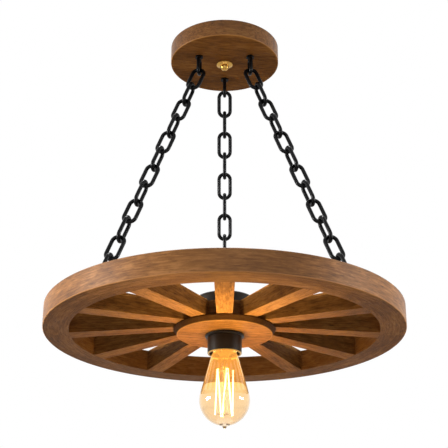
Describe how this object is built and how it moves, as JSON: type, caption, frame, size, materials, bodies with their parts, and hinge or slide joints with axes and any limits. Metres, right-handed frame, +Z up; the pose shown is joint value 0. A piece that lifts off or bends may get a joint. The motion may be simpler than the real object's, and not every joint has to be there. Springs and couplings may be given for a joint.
{
  "type": "wagon wheel chandelier",
  "caption": "Ceiling light: a spoked timber wagon wheel hung level on black chains from a round timber canopy, with one bare tapered lamp in a black holder under its hub.",
  "frame": {"origin": "on the ceiling plane, at the canopy's axis, midway between the two slots of the mounting strap", "axes": "+Z up into the ceiling, the hub and lamp straight below on -Z; +X to the right, along the mounting strap; the far chain hangs towards +Y, away from the viewer, and the left and right chains hang on the viewer's side, -Y"},
  "size_m": [0.4699, 0.47, 0.5563],
  "materials": {
    "canopy_wood": "stained brown, satin",
    "rim_wood": "stained brown, satin",
    "spoke_wood": "stained brown, satin",
    "hub_wood": "stained brown, satin",
    "disc_wood": "stained brown, satin",
    "chain_black": "black, satin",
    "black_steel": "black bronze, satin",
    "zinc": "bright zinc plating",
    "green_screw": "green passivated",
    "brass": "polished",
    "contact_brass": "plain",
    "black_plastic": "matt black",
    "porcelain": "plain, unglazed",
    "lamp_glass": "clear amber",
    "stem_glass": "clear",
    "black_glass": "black glass insulator",
    "solder": "dull solder",
    "filament": "glowing carbon-look filament",
    "support_wire": "plain drawn wire"
  },
  "bodies": {
    "ceiling": {"ceiling_strap": "zinc", "centre_stud": "zinc", "stud_nut": "zinc", "ground_screw": "green_screw", "canopy": "canopy_wood", "eye_nuts": "zinc", "eye_washers": "zinc", "canopy_eye_far": "chain_black", "canopy_eye_left": "chain_black", "canopy_eye_right": "chain_black"},
    "cap_nut": {"cap_nut": "brass"},
    "chain_far": {"chain_far": "chain_black"},
    "chain_left": {"chain_left": "chain_black"},
    "chain_right": {"chain_right": "chain_black"},
    "wheel": {"wheel_eye_far": "chain_black", "wheel_eye_left": "chain_black", "wheel_eye_right": "chain_black", "rim": "rim_wood", "hub_drum": "hub_wood", "hub_disc": "disc_wood", "hub_cap": "black_steel", "spoke_01": "spoke_wood", "spoke_02": "spoke_wood", "spoke_03": "spoke_wood", "spoke_04": "spoke_wood", "spoke_05": "spoke_wood", "spoke_06": "spoke_wood", "spoke_07": "spoke_wood", "spoke_08": "spoke_wood", "spoke_09": "spoke_wood", "spoke_10": "spoke_wood", "spoke_11": "spoke_wood", "spoke_12": "spoke_wood", "hub_tube": "zinc", "tube_nuts": "brass", "cord_bushing": "black_plastic", "lampholder_cup": "black_steel", "cup_ring": "brass", "lampholder_body": "porcelain", "screw_shell": "contact_brass", "centre_contact": "contact_brass"},
    "lamp": {"lamp_glass": "lamp_glass", "lamp_base": "contact_brass", "lamp_insulator": "black_glass", "lamp_tip": "solder", "lamp_stem": "stem_glass", "filament": "filament", "filament_rod": "support_wire"}
  },
  "joints": [
    {"name": "far_chain_swing", "type": "hinge", "parent": "ceiling", "child": "chain_far", "pos_m": [0, 0.04436, -0.05204], "axis": [0, 1, 0], "range_deg": [-12, 12]},
    {"name": "left_chain_swing", "type": "hinge", "parent": "ceiling", "child": "chain_left", "pos_m": [-0.03665, -0.02256, -0.0523], "axis": [0, 1, 0], "range_deg": [-12, 12]},
    {"name": "right_chain_swing", "type": "hinge", "parent": "ceiling", "child": "chain_right", "pos_m": [0.03665, -0.02256, -0.0523], "axis": [0, 1, 0], "range_deg": [-12, 12]},
    {"name": "wheel_swing", "type": "hinge", "parent": "chain_far", "child": "wheel", "pos_m": [0, 0.178, -0.38895], "axis": [0, 1, 0], "range_deg": [-2.9, 2.9]},
    {"name": "lamp_turn", "type": "hinge", "parent": "wheel", "child": "lamp", "pos_m": [0, 0, -0.434], "axis": [0, 0, 1], "range_deg": [-1080, 0]},
    {"name": "cap_nut_turn", "type": "hinge", "parent": "ceiling", "child": "cap_nut", "pos_m": [0, 0, -0.03], "axis": [0, 0, 1], "range_deg": [-1440, 0]}
  ],
  "couplings": [
    {"joint": "left_chain_swing", "follows": "far_chain_swing", "ratio": 1},
    {"joint": "right_chain_swing", "follows": "far_chain_swing", "ratio": 1},
    {"joint": "wheel_swing", "follows": "far_chain_swing", "ratio": -0.234}
  ]
}
